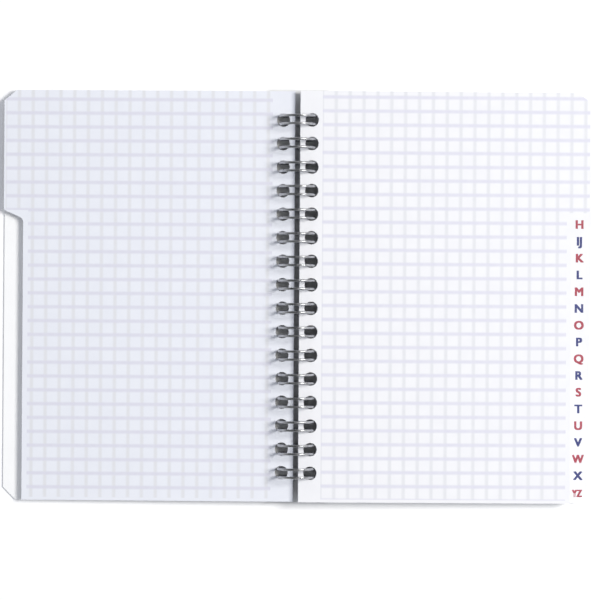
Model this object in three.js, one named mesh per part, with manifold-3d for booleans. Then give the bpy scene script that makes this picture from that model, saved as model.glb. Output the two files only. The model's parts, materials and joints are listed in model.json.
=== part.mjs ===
// Indexed pocket notebook on a twin-loop wire, A6, lying open between its sections G and H.
// Millimetres, +Z up. The rings lie round a line along Y. The front cover and the leaves already
// turned lie towards -X, the leaves still to come and the back cover towards +X.
// The origin is on the table, under the middle of the spine.
import * as THREE from "three";
import { mergeVertices } from "three/addons/utils/BufferGeometryUtils.js";
import Module from "manifold-3d";

const wasm = await Module();
wasm.setup();

// Leaves
const PAGE_WIDTH = 105;
const PAGE_HEIGHT = 148;
const LEAF_THICKNESS = 0.1;
const LEAVES_PER_SECTION = 3;
const CORNER_CUT_WIDTH = 4.6;
const CORNER_CUT_HEIGHT = 3.8;

// Thumb index: each section is cut back below its own tab
const SECTIONS = 24;
const TURNED_SECTIONS = 7;
const TAB_DEPTH = 7;
const FIRST_TAB_FROM_TOP = 5.05;
const LAST_TAB_FROM_BOTTOM = 3.8;
const TAB_END_BELOW_CENTRE = 2;
const TAB_END_SLANT = 3.1;
const TAB_END_ROUND = 1.5;

// Covers
const COVER_THICKNESS = 0.5;
const COVER_CORNER_CUT = 4.4;

// Holes along the spine
const HOLE_DIAMETER = 4.9;
const HOLE_PITCH = 8.47;
const HOLE_FROM_SPINE_EDGE = 4.2;
const HOLE_ROW_MARGIN = 10;

// Twin-loop wire
const WIRE_DIAMETER = 0.9;
const WIRE_CLEARANCE_IN_HOLE = 0.55;
const ROOT_BEND_RADIUS = 1;
const SEAM_GAP = 0.3;
const SEAM_DIRECTION_DEG = 292;

// Room between pieces
const SPINE_GAP = 2;
const LAYER_GAP = 0.3;

// How finely round forms are divided
const HOLE_SIDES = 12;
const WIRE_SIDES = 6;
const LEG_STEPS = 19;
const TIP_STEPS = 6;
const BEND_STEPS = 2;
const TAB_ROUND_STEPS = 4;

// Derived: thickness of each half, and the ring axis's height above the covers' undersides.
// Closing turns one half over onto the other about that axis, so it stands at half of the closed book.
const sectionThickness = LEAF_THICKNESS * LEAVES_PER_SECTION;
const turnedPile = sectionThickness * TURNED_SECTIONS;
const comingPile = sectionThickness * (SECTIONS - TURNED_SECTIONS);
const closedThickness = 2 * (COVER_THICKNESS + LAYER_GAP) + turnedPile + comingPile + LAYER_GAP;
const axisAboveCover = closedThickness / 2;
const pileBottom = COVER_THICKNESS + LAYER_GAP - axisAboveCover;

// Derived: edges of a leaf, as distances from the ring axis
const spineEdge = SPINE_GAP / 2;
const foreEdge = spineEdge + PAGE_WIDTH;
const holeFromAxis = spineEdge + HOLE_FROM_SPINE_EDGE;
const top = PAGE_HEIGHT / 2;
const bottom = -PAGE_HEIGHT / 2;

// Derived: the row of holes, centred on the page
const holeCount = Math.floor((PAGE_HEIGHT - 2 * HOLE_ROW_MARGIN) / HOLE_PITCH) + 1;
const holeCentres = Array.from({ length: holeCount }, (_, i) => (i - (holeCount - 1) / 2) * HOLE_PITCH);

// Derived: the wire has as much room towards the spine at the cover's outside as towards the page at its widest
const ringRadius = holeFromAxis + axisAboveCover ** 2 / (4 * (holeFromAxis - WIRE_DIAMETER / 2));
const legSpread = (HOLE_DIAMETER - WIRE_DIAMETER) / 2 - WIRE_CLEARANCE_IN_HOLE;
const tipStart = 2 * Math.PI * ringRadius - SEAM_GAP - legSpread;

// Derived: a leg is straight between its points, so they lie as far outside the ring as its stretches dip inside
const halfStretch = (tipStart - ROOT_BEND_RADIUS) / LEG_STEPS / 2 / ringRadius;
const pointRadius = (2 * ringRadius) / (1 + Math.cos(halfStretch));
const axisHeight = pointRadius + WIRE_DIAMETER / 2;

// Derived: each half slopes from the ring down to the table at its fore edge
const slope =
  Math.asin(axisHeight / Math.hypot(foreEdge, axisAboveCover)) - Math.atan2(axisAboveCover, foreEdge);

const tabPitch = (PAGE_HEIGHT - FIRST_TAB_FROM_TOP - LAST_TAB_FROM_BOTTOM) / (SECTIONS - 1);

const whitePaper = { color: 0xf4f4f8, roughness: 0.9, metalness: 0 };
const whiteCard = { color: 0xf1f1ee, roughness: 0.75, metalness: 0 };
const silverWire = { color: 0xc4c6c8, roughness: 0.25, metalness: 1 };

// A closed geometry as a solid that can be joined and cut.
function solidOf(geometry) {
  geometry.deleteAttribute("normal");
  geometry.deleteAttribute("uv");
  const merged = mergeVertices(geometry, 1e-4);
  return new wasm.Manifold(
    new wasm.Mesh({
      numProp: 3,
      vertProperties: merged.attributes.position.array,
      triVerts: new Uint32Array(merged.index.array),
    }),
  );
}

function geometryOf(solid) {
  const mesh = solid.getMesh();
  const geometry = new THREE.BufferGeometry();
  geometry.setAttribute("position", new THREE.BufferAttribute(mesh.vertProperties, 3));
  geometry.setIndex(new THREE.BufferAttribute(mesh.triVerts, 1));
  const faceted = geometry.toNonIndexed();
  faceted.computeVertexNormals();
  return faceted;
}

// A sheet or pile between two heights, from an outline in its own plane.
function slab(outline, from, to, curveSegments = TAB_ROUND_STEPS) {
  const geometry = new THREE.ExtrudeGeometry(outline, {
    depth: to - from,
    bevelEnabled: false,
    curveSegments,
  });
  return solidOf(geometry.translate(0, 0, from));
}

// The part of every outline that all leaves share: the fore edge's top, the top edge and the spine edge.
function closeAroundTop(shape, side, cutWidth, cutHeight) {
  shape.lineTo(side * foreEdge, top - cutHeight);
  shape.lineTo(side * (foreEdge - cutWidth), top);
  shape.lineTo(side * spineEdge, top);
  shape.closePath();
  return shape;
}

// A full-width outline with its outer bottom corner cut off as well.
function fullOutline(side, topCutWidth, topCutHeight, bottomCut) {
  const shape = new THREE.Shape();
  shape.moveTo(side * spineEdge, bottom);
  shape.lineTo(side * (foreEdge - bottomCut), bottom);
  shape.lineTo(side * foreEdge, bottom + bottomCut);
  return closeAroundTop(shape, side, topCutWidth, topCutHeight);
}

// One section's leaf: full width down to the end of its own tab, cut back below it.
// The last section's tab reaches the foot of the page.
function sectionOutline(section, side) {
  if (section === SECTIONS - 1)
    return fullOutline(side, CORNER_CUT_WIDTH, CORNER_CUT_HEIGHT, COVER_CORNER_CUT);
  const cutBack = foreEdge - TAB_DEPTH;
  const centre = top - FIRST_TAB_FROM_TOP - section * tabPitch;
  const outerEnd = centre - TAB_END_BELOW_CENTRE;
  const innerEnd = outerEnd - TAB_END_SLANT;
  const along = TAB_END_ROUND / Math.hypot(TAB_DEPTH, TAB_END_SLANT);
  const shape = new THREE.Shape();
  shape.moveTo(side * spineEdge, bottom);
  shape.lineTo(side * cutBack, bottom);
  shape.lineTo(side * cutBack, innerEnd - TAB_END_ROUND);
  shape.quadraticCurveTo(
    side * cutBack,
    innerEnd,
    side * (cutBack + TAB_DEPTH * along),
    innerEnd + TAB_END_SLANT * along,
  );
  shape.lineTo(side * (foreEdge - (TAB_DEPTH * along) / 2), outerEnd - (TAB_END_SLANT * along) / 2);
  shape.quadraticCurveTo(side * foreEdge, outerEnd, side * foreEdge, outerEnd + TAB_END_ROUND / 2);
  return closeAroundTop(shape, side, CORNER_CUT_WIDTH, CORNER_CUT_HEIGHT);
}

// The row of holes, punched right through everything on one side of the spine.
function punch(solid, side) {
  const holes = holeCentres.map((y) => {
    const hole = new THREE.Shape();
    hole.absarc(side * holeFromAxis, y, HOLE_DIAMETER / 2, 0, 2 * Math.PI);
    return hole;
  });
  return solid.subtract(slab(holes, -closedThickness, closedThickness, HOLE_SIDES / 2));
}

function cover(side) {
  const outline = fullOutline(side, CORNER_CUT_WIDTH, CORNER_CUT_HEIGHT, COVER_CORNER_CUT);
  return punch(slab(outline, -axisAboveCover, COVER_THICKNESS - axisAboveCover), side);
}

// The leaves still to come: the first section on top is the smallest, the last one lies full below.
function comingLeaves() {
  const sections = [];
  for (let section = TURNED_SECTIONS; section < SECTIONS; section++) {
    const height = (SECTIONS - section) * sectionThickness;
    sections.push(slab(sectionOutline(section, 1), pileBottom, pileBottom + height));
  }
  return punch(wasm.Manifold.union(sections), 1);
}

// The leaves already turned: the last of them lies full on top, the first and smallest at the bottom.
function turnedLeaves() {
  const sections = [];
  for (let section = 0; section < TURNED_SECTIONS; section++) {
    const below = section * sectionThickness;
    sections.push(slab(sectionOutline(section, -1), pileBottom + below, pileBottom + turnedPile));
  }
  return punch(wasm.Manifold.union(sections), -1);
}

// The wire laid out flat, as [distance round the ring, place along the spine]: a comb of round-ended
// fingers, one for each hole, joined at their roots by short runs along the spine.
function flatComb() {
  const points = [];
  const bend = (place, turn) => {
    for (let i = 0; i <= BEND_STEPS; i++) {
      const angle = (Math.PI / 2) * (turn > 0 ? i / BEND_STEPS : 1 - i / BEND_STEPS);
      const round = ROOT_BEND_RADIUS * (1 - Math.cos(angle));
      points.push([round, place - turn * ROOT_BEND_RADIUS * (1 - Math.sin(angle))]);
    }
  };
  const leg = (place, outwards) => {
    for (let i = 1; i < LEG_STEPS; i++) {
      const share = outwards ? i / LEG_STEPS : 1 - i / LEG_STEPS;
      points.push([ROOT_BEND_RADIUS + share * (tipStart - ROOT_BEND_RADIUS), place]);
    }
  };
  holeCentres.forEach((centre, index) => {
    if (index > 0) bend(centre - legSpread, 1);
    else points.push([0, centre - legSpread], [ROOT_BEND_RADIUS, centre - legSpread]);
    leg(centre - legSpread, true);
    for (let i = 0; i <= TIP_STEPS; i++) {
      const angle = (Math.PI * i) / TIP_STEPS;
      points.push([tipStart + legSpread * Math.sin(angle), centre - legSpread * Math.cos(angle)]);
    }
    leg(centre + legSpread, false);
    if (index < holeCount - 1) bend(centre + legSpread, -1);
    else points.push([ROOT_BEND_RADIUS, centre + legSpread], [0, centre + legSpread]);
  });
  return points;
}

// A path that steps from point to point, so that bends get short steps and straight runs long ones.
class BentWire extends THREE.Curve {
  constructor(points) {
    super();
    this.points = points;
  }
  indexAt(share) {
    return Math.round(share * (this.points.length - 1));
  }
  getPointAt(share, target = new THREE.Vector3()) {
    return target.copy(this.points[this.indexAt(share)]);
  }
  getTangentAt(share, target = new THREE.Vector3()) {
    const index = this.indexAt(share);
    const here = this.points[index];
    const before = this.points[Math.max(index - 1, 0)];
    const after = this.points[Math.min(index + 1, this.points.length - 1)];
    const arriving = here.clone().sub(before).normalize();
    const leaving = after.clone().sub(here).normalize();
    return target.copy(arriving.add(leaving)).normalize();
  }
}

// The comb rolled up round the ring axis, with its seam under the back cover, where no leaf passes.
function twinLoopWire() {
  const seam = THREE.MathUtils.degToRad(SEAM_DIRECTION_DEG);
  const points = flatComb().map(([round, place]) => {
    const angle = seam + round / ringRadius;
    return new THREE.Vector3(pointRadius * Math.cos(angle), place, pointRadius * Math.sin(angle));
  });
  const section = new THREE.Shape();
  section.absarc(0, 0, WIRE_DIAMETER / 2, 0, 2 * Math.PI);
  return solidOf(
    new THREE.ExtrudeGeometry(section, {
      extrudePath: new BentWire(points),
      steps: points.length - 1,
      curveSegments: WIRE_SIDES / 2,
    }),
  );
}

function meshOf(name, solid, look) {
  const mesh = new THREE.Mesh(geometryOf(solid), new THREE.MeshStandardMaterial(look));
  mesh.name = name;
  return mesh;
}

const turnedHalf = new THREE.Group();
turnedHalf.rotation.y = -slope;
turnedHalf.add(meshOf("front_cover", cover(-1), whiteCard));
turnedHalf.add(meshOf("left_leaves", turnedLeaves(), whitePaper));

const comingHalf = new THREE.Group();
comingHalf.rotation.y = slope;
comingHalf.add(meshOf("back_cover", cover(1), whiteCard));
comingHalf.add(meshOf("right_leaves", comingLeaves(), whitePaper));

const notebook = new THREE.Group();
notebook.position.z = axisHeight;
notebook.add(turnedHalf, comingHalf, meshOf("twin_loop_wire", twinLoopWire(), silverWire));

const part = new THREE.Group();
part.add(notebook);

export default part;
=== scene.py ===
"""The looks of an indexed A6 notebook that lies open on its twin-loop wire. Metres, +Z up, in the CAD frame.

Every leaf is a thin sheet of its own, squared on both sides, and the index letters are printed on its tabs.
A half's own frame has its origin on the ring axis: x is the distance from the axis times the side (-1 left,
1 right), y runs up the page and z is the height above the axis.
"""
import json
import math
import random

import bpy
from mathutils import Matrix, Vector
from mathutils.geometry import delaunay_2d_cdt

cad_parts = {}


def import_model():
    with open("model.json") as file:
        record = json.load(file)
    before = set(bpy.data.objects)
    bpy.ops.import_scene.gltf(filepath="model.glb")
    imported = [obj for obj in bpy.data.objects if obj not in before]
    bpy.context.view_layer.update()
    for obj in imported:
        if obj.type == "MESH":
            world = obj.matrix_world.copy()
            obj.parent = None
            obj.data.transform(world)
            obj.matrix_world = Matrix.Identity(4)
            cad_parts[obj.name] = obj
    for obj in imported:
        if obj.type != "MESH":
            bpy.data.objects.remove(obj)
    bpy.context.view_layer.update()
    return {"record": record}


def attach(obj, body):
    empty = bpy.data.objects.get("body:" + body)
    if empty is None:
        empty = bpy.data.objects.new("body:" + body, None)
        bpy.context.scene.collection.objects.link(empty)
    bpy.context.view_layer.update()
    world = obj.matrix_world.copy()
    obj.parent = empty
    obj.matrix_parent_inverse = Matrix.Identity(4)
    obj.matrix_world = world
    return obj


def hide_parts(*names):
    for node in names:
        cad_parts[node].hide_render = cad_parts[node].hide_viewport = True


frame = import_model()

MM = 0.001
LEFT, RIGHT = -1, 1

# Leaves and covers, as in the CAD
PAGE_WIDTH = 105 * MM
PAGE_HEIGHT = 148 * MM
LEAF_THICKNESS = 0.1 * MM
LEAVES_PER_SECTION = 3
SECTIONS = 24
TURNED_SECTIONS = 7
COVER_THICKNESS = 0.5 * MM
LAYER_GAP = 0.3 * MM
SPINE_GAP = 2 * MM
CORNER_CUT_WIDTH = 4.6 * MM
CORNER_CUT_HEIGHT = 3.8 * MM
FOOT_CORNER_CUT = 4.4 * MM

# Thumb index, as in the CAD
TAB_DEPTH = 7 * MM
FIRST_TAB_FROM_TOP = 5.05 * MM
LAST_TAB_FROM_BOTTOM = 3.8 * MM
TAB_END_BELOW_CENTRE = 2 * MM
TAB_END_SLANT = 3.1 * MM
TAB_END_ROUND = 1.5 * MM
TAB_LETTERS = "A B C D E F G H IJ K L M N O P Q R S T U V W X YZ".split()

# Holes and wire, as in the CAD
HOLE_RADIUS = 2.45 * MM
HOLE_PITCH = 8.47 * MM
HOLE_FROM_SPINE_EDGE = 4.2 * MM
HOLE_COUNT = 16
WIRE_RADIUS = 0.45 * MM
LEG_SPREAD = 1.45 * MM
ROOT_BEND_RADIUS = 1 * MM
SEAM_GAP = 0.3 * MM
SEAM_DIRECTION = math.radians(292)

# How sheets differ from a perfect stack. Each is a little thinner than its place and set back a little.
SEED = 7
SHEET_SHARE = 0.86
MOST_SETBACK = 0.09 * MM
RIPPLE = 0.05 * MM
RIPPLE_ACROSS = 23 * MM
RIPPLE_UP = 31 * MM
RIPPLE_LEAN = 30 * MM
RIPPLE_UP_SHARE = 0.6
COVER_EDGE_ROUND = 0.06 * MM

# How finely shapes are divided
FINE_SPACING = 3.2 * MM
COARSE_SPACING = 14 * MM
HOLE_STEPS = 28
BEND_STEPS = 5
LEG_STEPS = 44
TIP_STEPS = 14
ROOT_STEPS = 5
HOLE_MARGIN = 1.4
HOLE_INSIDE = 0.98
CORNER_MARGIN = 5 * MM

# Index letters. The last label is smaller, because its tab ends in a cut corner.
LETTER_HEIGHT = 2.9 * MM
LETTER_MAX_WIDTH = 3.9 * MM
FIRST_LETTER_FROM_EDGE = 4.45 * MM
LETTER_STEP_OUT = 0.03 * MM
LAST_LABEL_SCALE = 0.85
LAST_LABEL_DROP = 0.35 * MM
LAST_LABEL_INWARD = 0.25 * MM
LETTER_WEIGHT = 0.42 * MM
LETTER_RISE = 0.22 * MM
LETTER_DEPTH = 0.008 * MM
STRIKE_STEP = 0.001 * MM
FONT_CAPITAL_SHARE = 0.682

# Printed squares
GRID_PITCH = 5 * MM
GRID_TOP_LINE_RECTO = 71.85 * MM
GRID_TOP_LINE_VERSO = 70.7 * MM
GRID_COLUMN_RECTO = 98.8 * MM
GRID_COLUMN_VERSO = 100.6 * MM
GRID_HALF_LINE = 0.6 * MM
GRID_SHARP_SHARE = 0.3
GRID_BLUR_SHARE = 1.7
GRID_FAINTEST = 0.82
GRID_SPINE_MARGIN = 9 * MM
GRID_FOOT_MARGIN = 1.1 * MM
GRID_FORE_MARGIN = 0.6 * MM
GRID_CUT_BACK_MARGIN = 1.8 * MM

# Colours. Paper, card, wire and ink have two tones each, and the printed lines have one tone a direction.
FRONT_PAPER = ((0.862, 0.862, 0.882), (0.842, 0.842, 0.866))
# The backs of the leaves are darker and bluer than the fronts. This is painted shade: it darkens the turned
# pages, which lie backs up on the left, lower and further from the lamp.
SHADED_BACK_PAPER = ((0.824, 0.841, 0.894), (0.806, 0.823, 0.88))
GRID_ACROSS = (0.71, 0.705, 0.79)
GRID_UP = (0.745, 0.75, 0.775)
# The cut edges are greyer and bluer than the faces: painted shade of the piles' sides.
LEAF_EDGE = ((0.82, 0.83, 0.85), (0.70, 0.715, 0.745))
CARD = ((0.985, 0.985, 0.98), (0.97, 0.97, 0.967))
WIRE = ((0.52, 0.53, 0.55), (0.40, 0.41, 0.43))
RED_INK = ((0.36, 0.05, 0.075), (0.46, 0.10, 0.13))
BLUE_INK = ((0.035, 0.045, 0.17), (0.08, 0.09, 0.25))

# Grain, with its scales in features a metre
CLOUD_SCALE = 140
TOOTH_SCALE = 3500
PRINT_SCALE = 500
STREAK_SCALE = 900
DRAWING_SCALE = 700
INK_SCALE = 2500
STREAK_STRETCH = (0.2, 0.2, 8)

# Surfaces
PAPER_ROUGHNESS = 0.86
CARD_ROUGHNESS = 0.62
FIBRE_ROUGHNESS_SPREAD = 0.06
FIBRE_SPECULAR = 0.3
EDGE_ROUGHNESS = 0.9
INK_ROUGHNESS = 0.7
WIRE_ROUGHNESS = (0.26, 0.38)
BUMP_DEPTH = 0.01 * MM
TOOTH_BUMP = 0.25
STREAK_BUMP = 0.3
DRAWING_BUMP = 0.15

# Picture
FRAME_WIDTH = 217.3 * MM
SENSOR_WIDTH = 36
CAMERA_HEIGHT = 1100 * MM
CAMERA_PLACE = (1.25 * MM, -1.25 * MM)
CAMERA_ROLL = math.radians(0.38)
KEY_DIRECTION = Vector((0.85, 0.2, 1.0)).normalized()
KEY_DISTANCE = 1900 * MM
KEY_SIZE = 620 * MM
KEY_WATTS = 31.5
KEY_COLOUR = (1.0, 0.985, 0.955)
SKY_STRENGTH = 0.46
SKY_COLOUR = (0.93, 0.965, 1.05)
HORIZON = 0.75
CEILING = 0.06
CEILING_FROM = 0.6
FLOOR_SIZE = 6
FLOOR_DROP = 0.02 * MM
FLOOR_BOUNCE = (0.65, 0.65, 0.65)
FLOOR_SHOWN = (1, 1, 1)
FLOOR_GLOW = 0.04
FLOOR_ROUGHNESS = 0.9
FLOOR_SPECULAR = 0.1
# A darker strip of floor under the wire, without the glow: painted shade under the gap between the pages and
# the holes.
DARK_STRIP = (0.7, 0.7, 0.7)
DARK_STRIP_HALF_WIDTH = 8 * MM
DARK_STRIP_FADE = 1.6
DARK_STRIP_END_FADE = 1.02

# Derived as in the CAD
section_thickness = LEAF_THICKNESS * LEAVES_PER_SECTION
turned_pile = section_thickness * TURNED_SECTIONS
coming_pile = section_thickness * (SECTIONS - TURNED_SECTIONS)
axis_above_cover = COVER_THICKNESS + LAYER_GAP + (turned_pile + coming_pile + LAYER_GAP) / 2
pile_bottom = COVER_THICKNESS + LAYER_GAP - axis_above_cover
spine_edge = SPINE_GAP / 2
fore_edge = spine_edge + PAGE_WIDTH
cut_back = fore_edge - TAB_DEPTH
hole_from_axis = spine_edge + HOLE_FROM_SPINE_EDGE
top, bottom = PAGE_HEIGHT / 2, -PAGE_HEIGHT / 2
ring_radius = hole_from_axis + axis_above_cover**2 / (4 * (hole_from_axis - WIRE_RADIUS))
axis_height = frame["record"]["behaviour"]["joints"][0]["pos_m"][2]
slope = math.asin(axis_height / math.hypot(fore_edge, axis_above_cover)) - math.atan2(
    axis_above_cover, fore_edge
)
tab_pitch = (PAGE_HEIGHT - FIRST_TAB_FROM_TOP - LAST_TAB_FROM_BOTTOM) / (SECTIONS - 1)
hole_centres = [(i - (HOLE_COUNT - 1) / 2) * HOLE_PITCH for i in range(HOLE_COUNT)]

rng = random.Random(SEED)


def half_matrix(side):
    """Where a half's own frame lies in the row frame."""
    return Matrix.Translation((0, 0, axis_height)) @ Matrix.Rotation(side * slope, 4, "Y")


def tab_centre(section):
    """The height of a section's letter on the page."""
    return top - FIRST_TAB_FROM_TOP - section * tab_pitch


# Materials


def new_material(name):
    material = bpy.data.materials.new(name)
    material.use_nodes = True
    nodes = material.node_tree.nodes
    return material, nodes, material.node_tree.links, nodes["Principled BSDF"]


def math_node(nodes, links, operation, first, second=None):
    node = nodes.new("ShaderNodeMath")
    node.operation = operation
    for socket, value in zip(node.inputs, (first, second)):
        if value is None:
            continue
        if isinstance(value, (int, float)):
            socket.default_value = value
        else:
            links.new(value, socket)
    return node.outputs[0]


def map_range(nodes, links, value, from_low, from_high, to_low, to_high):
    node = nodes.new("ShaderNodeMapRange")
    node.interpolation_type = "SMOOTHSTEP"
    node.inputs["From Min"].default_value = from_low
    node.inputs["From Max"].default_value = from_high
    node.inputs["To Min"].default_value = to_low
    node.inputs["To Max"].default_value = to_high
    links.new(value, node.inputs["Value"])
    return node.outputs["Result"]


def noise(nodes, links, scale, detail, stretch=(1, 1, 1)):
    """Noise in the piece's own space, scale in features a metre."""
    coordinates = nodes.new("ShaderNodeTexCoord")
    mapping = nodes.new("ShaderNodeMapping")
    mapping.inputs["Scale"].default_value = stretch
    texture = nodes.new("ShaderNodeTexNoise")
    texture.inputs["Scale"].default_value = scale
    texture.inputs["Detail"].default_value = detail
    links.new(coordinates.outputs["Object"], mapping.inputs["Vector"])
    links.new(mapping.outputs["Vector"], texture.inputs["Vector"])
    return texture.outputs["Fac"]


def mix(nodes, links, share, first, second):
    node = nodes.new("ShaderNodeMix")
    node.data_type = "RGBA"
    links.new(share, node.inputs["Factor"])
    for socket, value in ((node.inputs["A"], first), (node.inputs["B"], second)):
        if isinstance(value, tuple):
            socket.default_value = (*value, 1)
        else:
            links.new(value, socket)
    return node.outputs["Result"]


def add_bump(nodes, links, shader, height, strength):
    bump = nodes.new("ShaderNodeBump")
    bump.inputs["Strength"].default_value = strength
    bump.inputs["Distance"].default_value = BUMP_DEPTH
    links.new(height, bump.inputs["Height"])
    links.new(bump.outputs["Normal"], shader.inputs["Normal"])


def two_tones(nodes, links, texture, tones):
    """A soft change between two tones along a noise texture."""
    return mix(nodes, links, map_range(nodes, links, texture, 0.3, 0.7, 0, 1), tones[1], tones[0])


def fibre_surface(nodes, links, shader, tones, roughness):
    """Paper or card: a cloudy formation in the colour and a fine tooth in the surface. Returns the colour."""
    colour = two_tones(nodes, links, noise(nodes, links, CLOUD_SCALE, 4), tones)
    tooth = noise(nodes, links, TOOTH_SCALE, 2)
    add_bump(nodes, links, shader, tooth, TOOTH_BUMP)
    spread = FIBRE_ROUGHNESS_SPREAD
    rough = map_range(nodes, links, tooth, 0.3, 0.7, roughness - spread, roughness + spread)
    links.new(rough, shader.inputs["Roughness"])
    shader.inputs["Specular IOR Level"].default_value = FIBRE_SPECULAR
    return colour


def ruled(nodes, links, along, offset):
    """1 on the printed lines that cross this coordinate, 0 between them."""
    moved = math_node(nodes, links, "SUBTRACT", along, offset)
    steps = math_node(nodes, links, "DIVIDE", moved, GRID_PITCH)
    away = math_node(nodes, links, "PINGPONG", steps, 0.5)
    half = GRID_HALF_LINE / GRID_PITCH
    return map_range(nodes, links, away, half * GRID_SHARP_SHARE, half * GRID_BLUR_SHARE, 1, 0)


def page_material(name, paper_tones, top_line, column_offset):
    """Squared writing paper. The face attribute column_foot is the height down to which the squares fill the
    tab column; below it they stop short of the cut-back edge."""
    material, nodes, links, shader = new_material(name)
    paper = fibre_surface(nodes, links, shader, paper_tones, PAPER_ROUGHNESS)
    page = nodes.new("ShaderNodeUVMap")
    page.uv_map = "page"
    split = nodes.new("ShaderNodeSeparateXYZ")
    links.new(page.outputs["UV"], split.inputs["Vector"])
    across, up = split.outputs["X"], split.outputs["Y"]
    foot = nodes.new("ShaderNodeAttribute")
    foot.attribute_name = "column_foot"
    in_page = math_node(nodes, links, "LESS_THAN", across, cut_back - GRID_CUT_BACK_MARGIN)
    in_column = math_node(nodes, links, "GREATER_THAN", up, foot.outputs["Fac"])
    short_of_edge = math_node(nodes, links, "LESS_THAN", across, fore_edge - GRID_FORE_MARGIN)
    column = math_node(nodes, links, "MULTIPLY", in_column, short_of_edge)
    outside_spine = math_node(nodes, links, "GREATER_THAN", across, GRID_SPINE_MARGIN)
    printed = math_node(nodes, links, "MAXIMUM", in_page, column)
    printed = math_node(nodes, links, "MULTIPLY", printed, outside_spine)
    above_foot = math_node(nodes, links, "GREATER_THAN", up, bottom + GRID_FOOT_MARGIN)
    printed = math_node(nodes, links, "MULTIPLY", printed, above_foot)
    ink = map_range(nodes, links, noise(nodes, links, PRINT_SCALE, 2), 0.25, 0.75, GRID_FAINTEST, 1)
    printed = math_node(nodes, links, "MULTIPLY", printed, ink)
    rows = math_node(nodes, links, "MULTIPLY", ruled(nodes, links, up, top_line), printed)
    columns = math_node(nodes, links, "MULTIPLY", ruled(nodes, links, across, column_offset), printed)
    colour = mix(nodes, links, columns, paper, GRID_UP)
    colour = mix(nodes, links, rows, colour, GRID_ACROSS)
    links.new(colour, shader.inputs["Base Color"])
    return material


def edge_material():
    """The cut edges of the leaves, a little duller and bluer than their faces, which is painted shade of the
    piles' sides, with faint streaks along the cut.
    """
    material, nodes, links, shader = new_material("leaf_edge")
    streaks = noise(nodes, links, STREAK_SCALE, 2, STREAK_STRETCH)
    links.new(two_tones(nodes, links, streaks, LEAF_EDGE), shader.inputs["Base Color"])
    shader.inputs["Roughness"].default_value = EDGE_ROUGHNESS
    add_bump(nodes, links, shader, streaks, STREAK_BUMP)
    return material


def card_material():
    """The covers' white card, smoother than the paper."""
    material, nodes, links, shader = new_material("cover_card")
    links.new(fibre_surface(nodes, links, shader, CARD, CARD_ROUGHNESS), shader.inputs["Base Color"])
    return material


def wire_material():
    """Bright silver steel wire with faint drawing marks."""
    material, nodes, links, shader = new_material("silver_wire")
    marks = noise(nodes, links, DRAWING_SCALE, 3)
    links.new(two_tones(nodes, links, marks, WIRE), shader.inputs["Base Color"])
    links.new(map_range(nodes, links, marks, 0.3, 0.7, *WIRE_ROUGHNESS), shader.inputs["Roughness"])
    shader.inputs["Metallic"].default_value = 1
    add_bump(nodes, links, shader, marks, DRAWING_BUMP)
    return material


def ink_material(name, full, worn):
    """Printing ink that lies a little unevenly."""
    material, nodes, links, shader = new_material(name)
    colour = two_tones(nodes, links, noise(nodes, links, INK_SCALE, 2), (worn, full))
    links.new(colour, shader.inputs["Base Color"])
    shader.inputs["Roughness"].default_value = INK_ROUGHNESS
    return material


# Sheets


def outline(section):
    """A leaf's outline as (distance from the axis, height), with its section's tab end. None is a cover."""
    points = [(spine_edge, bottom)]
    if section is None or section == SECTIONS - 1:
        points += [(fore_edge - FOOT_CORNER_CUT, bottom), (fore_edge, bottom + FOOT_CORNER_CUT)]
    else:
        outer_end = tab_centre(section) - TAB_END_BELOW_CENTRE
        inner_end = outer_end - TAB_END_SLANT
        along = TAB_END_ROUND / math.hypot(TAB_DEPTH, TAB_END_SLANT)
        across, rise = TAB_DEPTH * along, TAB_END_SLANT * along
        points.append((cut_back, bottom))
        inner = ((cut_back, inner_end - TAB_END_ROUND), (cut_back, inner_end))
        points += bend(*inner, (cut_back + across, inner_end + rise))
        outer = ((fore_edge - across / 2, outer_end - rise / 2), (fore_edge, outer_end))
        points += bend(*outer, (fore_edge, outer_end + TAB_END_ROUND / 2))
    points += [(fore_edge, top - CORNER_CUT_HEIGHT), (fore_edge - CORNER_CUT_WIDTH, top)]
    points.append((spine_edge, top))
    return points


def bend(start, corner, end):
    """A round stretch from start to end that leaves and arrives along the lines to the corner."""
    shares = [i / BEND_STEPS for i in range(BEND_STEPS + 1)]
    return [
        tuple((1 - t) ** 2 * a + 2 * t * (1 - t) * b + t * t * c for a, b, c in zip(start, corner, end))
        for t in shares
    ]


def near_hole(u, v, reach):
    """Whether a point lies within this reach of a hole's centre."""
    return any(math.hypot(u - hole_from_axis, v - centre) < reach for centre in hole_centres)


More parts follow.
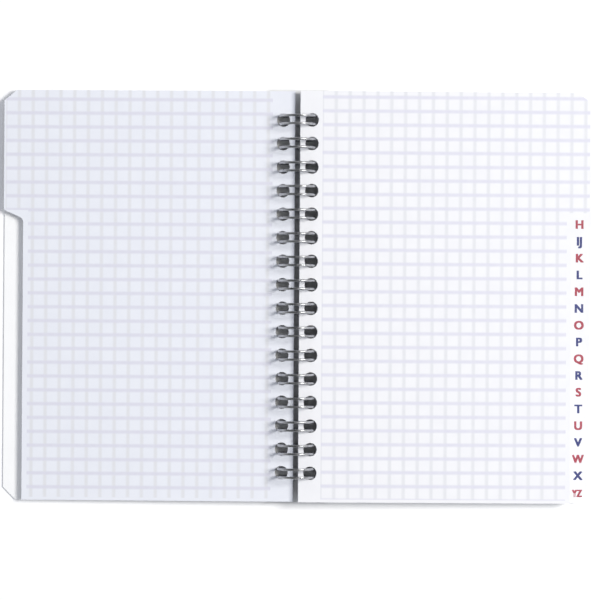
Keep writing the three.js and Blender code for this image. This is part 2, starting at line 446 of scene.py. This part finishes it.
def flat_mesh(section, spacing):
    """A punched outline filled with triangles: points, triangles, and the edges along its border."""
    loops = [outline(section)]
    for centre in hole_centres:
        turns = [2 * math.pi * i / HOLE_STEPS for i in range(HOLE_STEPS)]
        loops.append(
            [(hole_from_axis + HOLE_RADIUS * math.cos(a), centre + HOLE_RADIUS * math.sin(a)) for a in turns]
        )
    points, edges = [], []
    for loop in loops:
        first = len(points)
        points += loop
        edges += [(first + i, first + (i + 1) % len(loop)) for i in range(len(loop))]
    inner_foot = bottom if section in (None, SECTIONS - 1) else tab_centre(section)
    across_steps = round((fore_edge - spine_edge) / spacing)
    up_steps = round(PAGE_HEIGHT / spacing)
    for i in range(1, across_steps):
        for j in range(1, up_steps):
            u = spine_edge + i * (fore_edge - spine_edge) / across_steps
            v = bottom + j * PAGE_HEIGHT / up_steps
            at_corner = v < inner_foot + spacing / 3 or v > top - CORNER_MARGIN
            in_tab_column = u > cut_back - spacing / 3
            if not near_hole(u, v, HOLE_RADIUS * HOLE_MARGIN) and not (in_tab_column and at_corner):
                points.append((u, v))
    made = delaunay_2d_cdt([Vector(p) for p in points], edges, [], 1, 1e-9)
    found = [tuple(p) for p in made[0]]
    triangles = []
    for a, b, c in made[2]:
        u = (found[a][0] + found[b][0] + found[c][0]) / 3
        v = (found[a][1] + found[b][1] + found[c][1]) / 3
        if not near_hole(u, v, HOLE_RADIUS * HOLE_INSIDE) and inside(u, v, loops[0]):
            triangles.append((a, b, c))
    directed = {(t[i], t[(i + 1) % 3]) for t in triangles for i in range(3)}
    rim = [(a, b) for a, b in directed if (b, a) not in directed]
    return found, triangles, rim


def inside(u, v, loop):
    """Whether a point lies inside a closed outline."""
    crossings = 0
    for (u0, v0), (u1, v1) in zip(loop, loop[1:] + loop[:1]):
        if (v0 > v) != (v1 > v) and u < u0 + (v - v0) / (v1 - v0) * (u1 - u0):
            crossings += 1
    return crossings % 2 == 1


class Stack:
    """Sheets gathered into one mesh."""

    def __init__(self, side):
        self.side = side
        self.points, self.faces, self.slots, self.feet, self.pages = [], [], [], [], []

    def add_sheet(self, flat, height, thickness, shift, ripple, upper, lower, edge):
        """One sheet with its underside at this height, shifted away from the spine by this much. upper and
        lower are (material slot, column foot), and edge is the material slot of the cut edge."""
        found, triangles, rim = flat
        count, first = len(found), len(self.points)
        for level in (thickness, 0):
            for u, v in found:
                self.points.append((self.side * (u + shift), v, height + level + ripple(u, v)))
                self.pages.append((u, v))
        turned = self.side < 0
        for a, b, c in triangles:
            up = (c, b, a) if turned else (a, b, c)
            self.add_face([first + i for i in up], *upper)
            self.add_face([first + count + i for i in reversed(up)], *lower)
        for a, b in rim:
            wall = [first + a, first + count + a, first + count + b, first + b]
            self.add_face(wall[::-1] if turned else wall, edge, 1)

    def add_face(self, face, slot, foot):
        """One face with its material slot and its column foot."""
        self.faces.append(face)
        self.slots.append(slot)
        self.feet.append(foot)

    def build(self, name, materials):
        """The sheets as one object in their half's place."""
        mesh = bpy.data.meshes.new(name)
        mesh.from_pydata(self.points, [], self.faces)
        for material in materials:
            mesh.materials.append(material)
        mesh.polygons.foreach_set("material_index", self.slots)
        foot = mesh.attributes.new("column_foot", "FLOAT", "FACE")
        foot.data.foreach_set("value", self.feet)
        layer = mesh.uv_layers.new(name="page")
        layer.data.foreach_set("uv", [x for loop in mesh.loops for x in self.pages[loop.vertex_index]])
        mesh.update()
        made = bpy.data.objects.new(name, mesh)
        bpy.context.scene.collection.objects.link(made)
        made.matrix_world = half_matrix(self.side)
        return made


def gentle_ripple(amount):
    """A slow wave over a sheet. It dies out towards the spine, where the wire holds it, and the tabs."""
    phase, tilt = rng.uniform(0, 6.28), rng.uniform(-0.4, 0.4)

    def rise(u, v):
        away = max(0, math.sin(math.pi * (u - spine_edge) / (cut_back - spine_edge)))
        across = math.sin(u / RIPPLE_ACROSS + phase + tilt * v / RIPPLE_LEAN)
        along = RIPPLE_UP_SHARE * math.sin(v / RIPPLE_UP - phase)
        return amount * away * (across + along) / (1 + RIPPLE_UP_SHARE)

    return rise


def leaves(name, side, sections, materials):
    """A pile of separate leaves, built from the bottom up."""
    stack = Stack(side)
    order = sorted(sections, reverse=side == RIGHT)
    level = pile_bottom
    for section in order:
        recto = (0, tab_centre(section) + tab_pitch - TAB_END_BELOW_CENTRE)
        verso = (1, tab_centre(section) - TAB_END_BELOW_CENTRE)
        open_page = section == order[-1]
        flat = flat_mesh(section, FINE_SPACING if open_page else COARSE_SPACING)
        for _ in range(LEAVES_PER_SECTION):
            shift = rng.uniform(-MOST_SETBACK, 0)
            ripple = gentle_ripple(RIPPLE if open_page else 0)
            upper, lower = (recto, verso) if side == RIGHT else (verso, recto)
            stack.add_sheet(flat, level, LEAF_THICKNESS * SHEET_SHARE, shift, ripple, upper, lower, 2)
            level += LEAF_THICKNESS
    return stack.build(name, materials)


def cover(name, side, material):
    """A cover: one punched sheet of card with softened edges."""
    stack = Stack(side)
    flat = flat_mesh(None, COARSE_SPACING)
    still = gentle_ripple(0)
    stack.add_sheet(flat, -axis_above_cover, COVER_THICKNESS, 0, still, (0, 0), (0, 0), 0)
    made = stack.build(name, [material])
    bevel = made.modifiers.new("softened_edges", "BEVEL")
    bevel.width = COVER_EDGE_ROUND
    bevel.segments = 2
    bevel.limit_method = "ANGLE"
    return made


# Print and wire


def label_mesh(label, height):
    """A label of this capital height, centred on x = 0, and its width."""
    text = bpy.data.curves.new("letter", "FONT")
    text.body = label
    text.size = height / FONT_CAPITAL_SHARE
    text.align_x = "CENTER"
    text.extrude = LETTER_DEPTH / 2
    text.resolution_u = 4
    holder = bpy.data.objects.new("letter", text)
    bpy.context.scene.collection.objects.link(holder)
    bpy.context.view_layer.update()
    drawn = bpy.data.meshes.new_from_object(holder.evaluated_get(bpy.context.evaluated_depsgraph_get()))
    width = holder.dimensions.x
    bpy.data.objects.remove(holder)
    bpy.data.curves.remove(text)
    return drawn, width


def letters(name, side, sections, inks):
    """The index letters, one on the front of each section's tab, red and blue by turns. Each is struck four
    times, a hair apart, which makes it bold."""
    strikes = [(a * LETTER_WEIGHT / 2, b * LETTER_RISE / 2) for a in (-1, 1) for b in (-1, 1)]
    points, faces, slots = [], [], []
    for section in sections:
        height = LETTER_HEIGHT
        foot = tab_centre(section)
        across = fore_edge - FIRST_LETTER_FROM_EDGE + section * LETTER_STEP_OUT
        if section == SECTIONS - 1:
            height *= LAST_LABEL_SCALE
            foot -= LAST_LABEL_DROP
            across -= LAST_LABEL_INWARD
        foot -= height / 2
        drawn, width = label_mesh(TAB_LETTERS[section], height)
        narrowed = min(1, LETTER_MAX_WIDTH * height / LETTER_HEIGHT / width)
        sections_below = (SECTIONS - section) if side == RIGHT else section
        face = pile_bottom + sections_below * section_thickness
        lift = LETTER_DEPTH - (LEAF_THICKNESS * (1 - SHEET_SHARE) if side == RIGHT else 0)
        place = Vector((side * across, foot, face + side * lift))
        for layer, (aside, higher) in enumerate(strikes):
            first = len(points)
            for vertex in drawn.vertices:
                x, y, z = vertex.co
                z += layer * STRIKE_STEP
                points.append(place + Vector((side * (x * narrowed + aside), y + higher, side * z)))
            for polygon in drawn.polygons:
                faces.append([first + i for i in polygon.vertices])
                slots.append(section % 2)
        bpy.data.meshes.remove(drawn)
    mesh = bpy.data.meshes.new(name)
    mesh.from_pydata(points, [], faces)
    for ink in inks:
        mesh.materials.append(ink)
    mesh.polygons.foreach_set("material_index", slots)
    made = bpy.data.objects.new(name, mesh)
    bpy.context.scene.collection.objects.link(made)
    made.matrix_world = half_matrix(side)
    return made


def comb():
    """The wire laid out flat: (distance round the ring, place along the spine), finger after finger."""
    tip_start = 2 * math.pi * ring_radius - SEAM_GAP - LEG_SPREAD
    leg = [ROOT_BEND_RADIUS + i / LEG_STEPS * (tip_start - ROOT_BEND_RADIUS) for i in range(1, LEG_STEPS)]
    corner = [math.pi / 2 * i / ROOT_STEPS for i in range(ROOT_STEPS + 1)]
    points = []
    for index, centre in enumerate(hole_centres):
        if index == 0:
            points.append((0, centre - LEG_SPREAD))
        else:
            for a in corner:
                across = centre - LEG_SPREAD - ROOT_BEND_RADIUS * (1 - math.sin(a))
                points.append((ROOT_BEND_RADIUS * (1 - math.cos(a)), across))
        points += [(s, centre - LEG_SPREAD) for s in leg]
        for i in range(TIP_STEPS + 1):
            a = math.pi * i / TIP_STEPS
            points.append((tip_start + LEG_SPREAD * math.sin(a), centre - LEG_SPREAD * math.cos(a)))
        points += [(s, centre + LEG_SPREAD) for s in reversed(leg)]
        if index == HOLE_COUNT - 1:
            points.append((0, centre + LEG_SPREAD))
        else:
            for a in reversed(corner):
                across = centre + LEG_SPREAD + ROOT_BEND_RADIUS * (1 - math.sin(a))
                points.append((ROOT_BEND_RADIUS * (1 - math.cos(a)), across))
    return points


def wire(name, material):
    """The comb rolled up round the ring axis and given its round section."""
    path = bpy.data.curves.new(name, "CURVE")
    path.dimensions = "3D"
    path.bevel_depth = WIRE_RADIUS
    path.bevel_resolution = 4
    path.use_fill_caps = True
    spline = path.splines.new("POLY")
    flat = comb()
    spline.points.add(len(flat) - 1)
    for point, (around, along) in zip(spline.points, flat):
        angle = SEAM_DIRECTION + around / ring_radius
        x, z = ring_radius * math.cos(angle), ring_radius * math.sin(angle)
        point.co = (x, along, z + axis_height, 1)
    holder = bpy.data.objects.new("path", path)
    bpy.context.scene.collection.objects.link(holder)
    bpy.context.view_layer.update()
    mesh = bpy.data.meshes.new_from_object(holder.evaluated_get(bpy.context.evaluated_depsgraph_get()))
    bpy.data.objects.remove(holder)
    mesh.name = name
    mesh.materials.clear()
    mesh.materials.append(material)
    mesh.polygons.foreach_set("use_smooth", [True] * len(mesh.polygons))
    made = bpy.data.objects.new(name, mesh)
    bpy.context.scene.collection.objects.link(made)
    return made


# The notebook

page_front = page_material("page_front", FRONT_PAPER, GRID_TOP_LINE_RECTO, GRID_COLUMN_RECTO)
# The backs' paper carries painted shade, darker and bluer, for the turned pages on the left.
shaded_page_back = page_material("shaded_page_back", SHADED_BACK_PAPER, GRID_TOP_LINE_VERSO, GRID_COLUMN_VERSO)
papers = [page_front, shaded_page_back, edge_material()]
card = card_material()
inks = [ink_material("blue_ink", *BLUE_INK), ink_material("red_ink", *RED_INK)]
turned, coming = range(TURNED_SECTIONS), range(TURNED_SECTIONS, SECTIONS)

pieces = [
    (leaves("turned_leaves_sheets", LEFT, turned, papers), "turned_leaves", "left_leaves"),
    (leaves("coming_leaves_sheets", RIGHT, coming, papers), "coming_leaves", "right_leaves"),
    (cover("front_cover_card", LEFT, card), "front", "front_cover"),
    (cover("back_cover_card", RIGHT, card), "back", "back_cover"),
    (wire("binding_wire", wire_material()), "back", "twin_loop_wire"),
]
for piece, body, node in pieces:
    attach(piece, body)
    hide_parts(node)

for name, side, sections, body in (
    ("index_letters_turned", LEFT, turned, "turned_leaves"),
    ("index_letters_coming", RIGHT, coming, "coming_leaves"),
):
    printed = letters(name, side, sections, inks)
    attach(printed, body)

# Floor, light and camera


def seen_rays(nodes, links):
    """1 for what the camera sees by itself, in a mirror image or through a clear thing, 0 for light."""
    ray = nodes.new("ShaderNodeLightPath")
    seen = math_node(nodes, links, "MAXIMUM", ray.outputs["Is Camera Ray"], ray.outputs["Is Glossy Ray"])
    return math_node(nodes, links, "MAXIMUM", seen, ray.outputs["Is Transmission Ray"])


def choose_by(nodes, links, share, first, second, output):
    """The first shader where the share is 0, the second where it is 1."""
    choose = nodes.new("ShaderNodeMixShader")
    links.new(share, choose.inputs["Fac"])
    links.new(first, choose.inputs[1])
    links.new(second, choose.inputs[2])
    links.new(choose.outputs[0], output)


def floor():
    """A white floor that takes the shadow. It shows whiter than it lights the notebook, apart from a darker
    strip under the wire, painted shade that makes the gap between the pages and the holes look dark."""
    bpy.ops.mesh.primitive_plane_add(size=FLOOR_SIZE, location=(0, 0, -FLOOR_DROP))
    made = bpy.context.object
    made.name = "floor"
    material, nodes, links, shader = new_material("floor")
    shader.inputs["Base Color"].default_value = (*FLOOR_BOUNCE, 1)
    shader.inputs["Roughness"].default_value = FLOOR_ROUGHNESS
    shader.inputs["Specular IOR Level"].default_value = FLOOR_SPECULAR
    geometry = nodes.new("ShaderNodeNewGeometry")
    apart = nodes.new("ShaderNodeSeparateXYZ")
    links.new(geometry.outputs["Position"], apart.inputs["Vector"])
    sideways = math_node(nodes, links, "ABSOLUTE", apart.outputs["X"])
    lengthways = math_node(nodes, links, "ABSOLUTE", apart.outputs["Y"])
    # The strip under the wire is painted shade: darker and without the glow.
    strip = DARK_STRIP_HALF_WIDTH
    beside = map_range(nodes, links, sideways, strip, strip * DARK_STRIP_FADE, 0, 1)
    beyond = map_range(nodes, links, lengthways, top, top * DARK_STRIP_END_FADE, 0, 1)
    white = math_node(nodes, links, "MAXIMUM", beside, beyond)
    shown = nodes.new("ShaderNodeBsdfDiffuse")
    links.new(mix(nodes, links, white, DARK_STRIP, FLOOR_SHOWN), shown.inputs["Color"])
    glow = nodes.new("ShaderNodeEmission")
    links.new(math_node(nodes, links, "MULTIPLY", white, FLOOR_GLOW), glow.inputs["Strength"])
    add = nodes.new("ShaderNodeAddShader")
    links.new(shown.outputs[0], add.inputs[0])
    links.new(glow.outputs[0], add.inputs[1])
    surface = nodes["Material Output"].inputs["Surface"]
    choose_by(nodes, links, seen_rays(nodes, links), shader.outputs[0], add.outputs[0], surface)
    made.data.materials.append(material)


def area_light(name, place, size, watts, colour):
    """A square lamp that points at the notebook."""
    lamp = bpy.data.lights.new(name, "AREA")
    lamp.size = size
    lamp.energy = watts
    lamp.color = colour
    made = bpy.data.objects.new(name, lamp)
    made.location = place
    made.rotation_euler = (-Vector(place)).to_track_quat("-Z", "Y").to_euler()
    bpy.context.scene.collection.objects.link(made)


def world(strength, colour):
    """Even light from all round. The background is white. Its mirror image darkens towards the ceiling."""
    made = bpy.data.worlds.new("studio")
    made.use_nodes = True
    nodes, links = made.node_tree.nodes, made.node_tree.links
    light = nodes["Background"]
    light.inputs["Color"].default_value = (*colour, 1)
    light.inputs["Strength"].default_value = strength
    direction = nodes.new("ShaderNodeTexCoord")
    split = nodes.new("ShaderNodeSeparateXYZ")
    links.new(direction.outputs["Generated"], split.inputs["Vector"])
    white = nodes.new("ShaderNodeBackground")
    white.inputs["Color"].default_value = (1, 1, 1, 1)
    ceiling = map_range(nodes, links, split.outputs["Z"], 0, CEILING_FROM, HORIZON, CEILING)
    camera_ray = nodes.new("ShaderNodeLightPath").outputs["Is Camera Ray"]
    links.new(math_node(nodes, links, "MAXIMUM", ceiling, camera_ray), white.inputs["Strength"])
    surface = nodes["World Output"].inputs["Surface"]
    choose_by(nodes, links, seen_rays(nodes, links), light.outputs[0], white.outputs[0], surface)
    bpy.context.scene.world = made


def camera():
    """Straight above, turned a little, so that the notebook lies in the picture as in the photograph."""
    lens = bpy.data.cameras.new("camera")
    lens.sensor_width = SENSOR_WIDTH
    lens.lens = lens.sensor_width * CAMERA_HEIGHT / FRAME_WIDTH
    made = bpy.data.objects.new("camera", lens)
    made.location = (*CAMERA_PLACE, CAMERA_HEIGHT)
    made.rotation_euler = (0, 0, CAMERA_ROLL)
    bpy.context.scene.collection.objects.link(made)
    bpy.context.scene.camera = made


floor()
world(SKY_STRENGTH, SKY_COLOUR)
area_light("key", KEY_DIRECTION * KEY_DISTANCE, KEY_SIZE, KEY_WATTS, KEY_COLOUR)
camera()
bpy.context.scene.view_settings.view_transform = "Standard"
